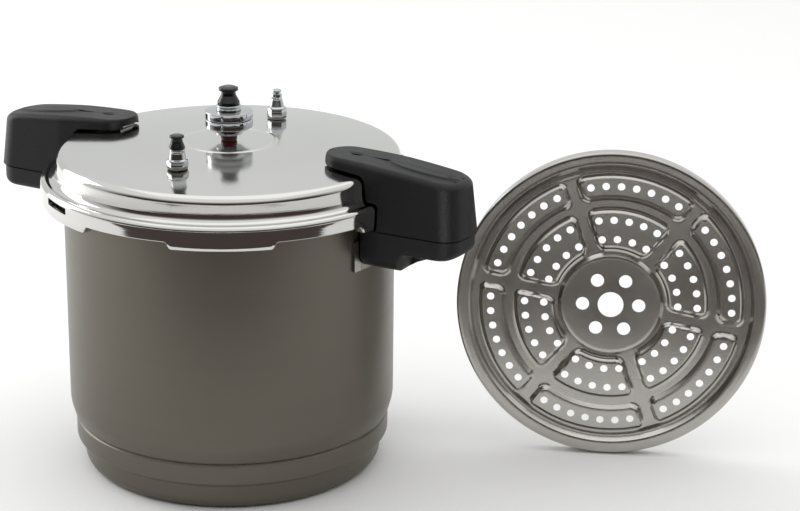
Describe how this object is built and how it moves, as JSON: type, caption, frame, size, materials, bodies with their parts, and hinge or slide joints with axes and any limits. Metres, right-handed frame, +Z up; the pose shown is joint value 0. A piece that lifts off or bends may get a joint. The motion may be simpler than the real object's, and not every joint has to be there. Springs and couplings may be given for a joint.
{
  "type": "pressure canner",
  "caption": "Tall pressure canner with a twist-lock lid, weighted regulator, relief valve, pressure indicator, paired side handles and a perforated rack beside it.",
  "frame": {"origin": "centre of the pot's flat base", "axes": "+Z up along the pot's axis, +X through the right handle pair, -Y towards the side with the relief valve"},
  "size_m": [0.6048, 0.3698, 0.3129],
  "materials": {
    "anodised_pot": "hard-anodised, satin warm grey",
    "polished_lid": "satin top, polished sides and skirt",
    "rack_sheet": "stamped sheet, softly polished",
    "bright_steel": "bright plated steel",
    "chrome_fittings": "mirror chrome",
    "phenolic_handles": "fine pebble-grained phenolic, soft sheen",
    "gloss_black_knobs": "glossy moulded black",
    "red_rubber": "dark red silicone",
    "grey_rubber": "grey moulded rubber"
  },
  "bodies": {
    "pot": {"pot_body": "anodised_pot", "pot_bracket_left": "bright_steel", "pot_bracket_right": "bright_steel", "pot_handle_left": "phenolic_handles", "pot_handle_right": "phenolic_handles", "pot_handle_screw_left": "bright_steel", "pot_handle_screw_right": "bright_steel", "pot_bracket_rivet_left_a": "bright_steel", "pot_bracket_rivet_left_b": "bright_steel", "pot_bracket_rivet_right_a": "bright_steel", "pot_bracket_rivet_right_b": "bright_steel"},
    "seal": {"sealing_ring": "grey_rubber"},
    "lid": {"lid_shell": "polished_lid", "lid_bracket_left": "bright_steel", "lid_bracket_right": "bright_steel", "lid_bracket_rivet_left": "bright_steel", "lid_bracket_rivet_right": "bright_steel", "lid_handle_left": "phenolic_handles", "lid_handle_right": "phenolic_handles", "lid_handle_screw_left": "bright_steel", "lid_handle_screw_right": "bright_steel", "vent_pipe": "chrome_fittings", "vent_pipe_seal": "red_rubber", "vent_pipe_nut": "bright_steel", "release_valve_body": "chrome_fittings", "release_valve_seal": "grey_rubber", "release_valve_nut": "bright_steel", "release_valve_spring": "bright_steel", "indicator_body": "chrome_fittings", "indicator_seal": "grey_rubber", "indicator_nut": "bright_steel"},
    "regulator": {"regulator_core": "chrome_fittings", "regulator_ring_lower": "chrome_fittings", "regulator_ring_upper": "chrome_fittings", "regulator_knob": "gloss_black_knobs"},
    "release_cap": {"release_valve_cap": "gloss_black_knobs", "release_valve_pad": "red_rubber"},
    "indicator_pin": {"indicator_pin": "chrome_fittings"},
    "rack": {"rack": "rack_sheet"}
  },
  "joints": [
    {"name": "lid_lift", "type": "slide", "parent": "pot", "child": "seal", "axis": [0, 0, 1], "range_m": [0, 0.21]},
    {"name": "lid_turn", "type": "hinge", "parent": "seal", "child": "lid", "pos_m": [0, 0, 0.25], "axis": [0, 0, 1], "range_deg": [0, 30]},
    {"name": "regulator_lift", "type": "slide", "parent": "lid", "child": "regulator", "axis": [0, 0, 1], "range_m": [0, 0.045]},
    {"name": "release_lift", "type": "slide", "parent": "lid", "child": "release_cap", "axis": [0, 0, 1], "range_m": [0, 0.0045], "stiffness_N_per_m": 800, "springref_m": -0.004, "deforming": ["release_valve_spring"]},
    {"name": "indicator_rise", "type": "slide", "parent": "lid", "child": "indicator_pin", "axis": [0, 0, 1], "range_m": [0, 0.004]},
    {"name": "rack_slide", "type": "slide", "parent": "pot", "child": "rack", "axis": [0.8789, 0.477, 0], "range_m": [0, 0.2]}
  ]
}
